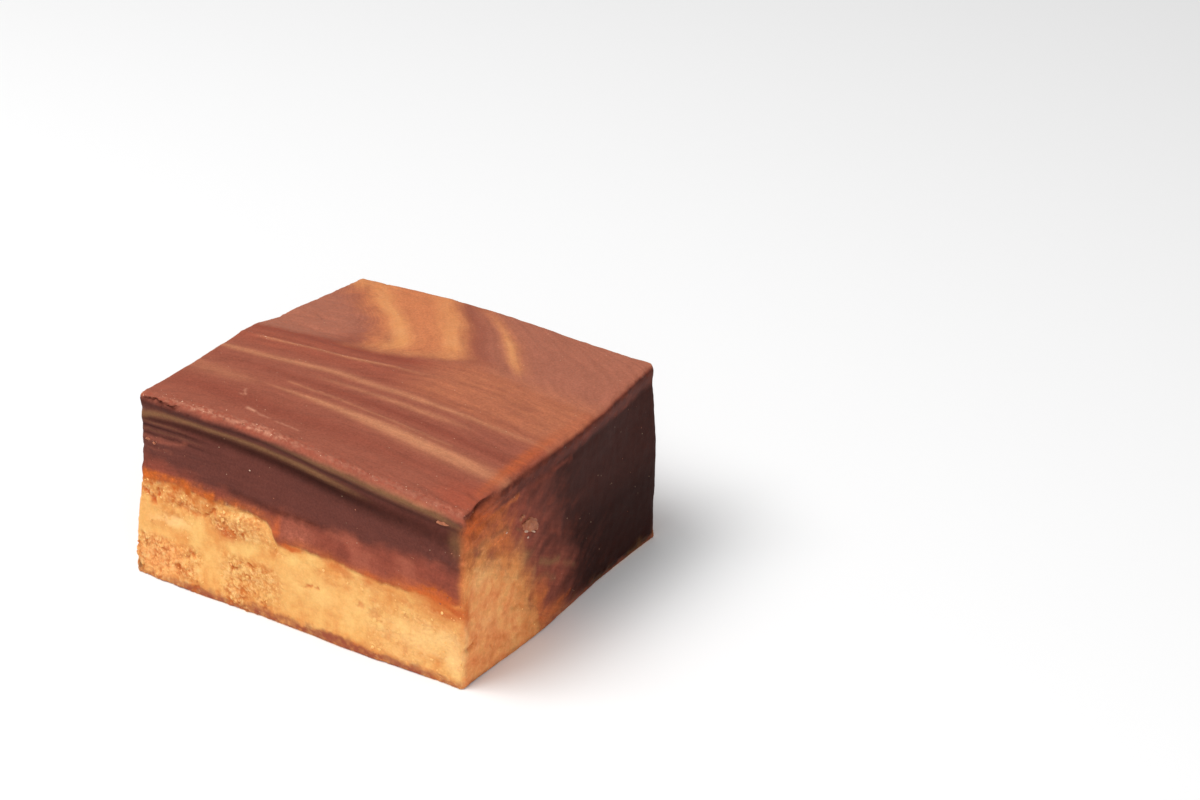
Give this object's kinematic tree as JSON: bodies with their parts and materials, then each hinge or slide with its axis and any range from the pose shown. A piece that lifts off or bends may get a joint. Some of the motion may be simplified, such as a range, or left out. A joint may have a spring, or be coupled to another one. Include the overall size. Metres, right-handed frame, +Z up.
{
  "type": "marbled two-layer fudge square",
  "caption": "Hand-cut square of two-layer fudge: a golden crumbly peanut base under a thick swirl-topped chocolate layer. Lies flat on its foot.",
  "frame": {"origin": "centre of the outline's bounding box, on the plane the foot rests on", "axes": "+Z up out of the swirled top face, +X along the longer side, with the face that shows both layers best at -Y"},
  "size_m": [0.0522, 0.0478, 0.0271],
  "materials": {
    "peanut_fudge": "matt, crumbly, with sugar grains",
    "chocolate_fudge": "soft satin, marbled with caramel and gold streaks"
  },
  "bodies": {
    "root": {"peanut_fudge_base": "peanut_fudge", "chocolate_fudge_top": "chocolate_fudge"}
  },
  "joints": []
}
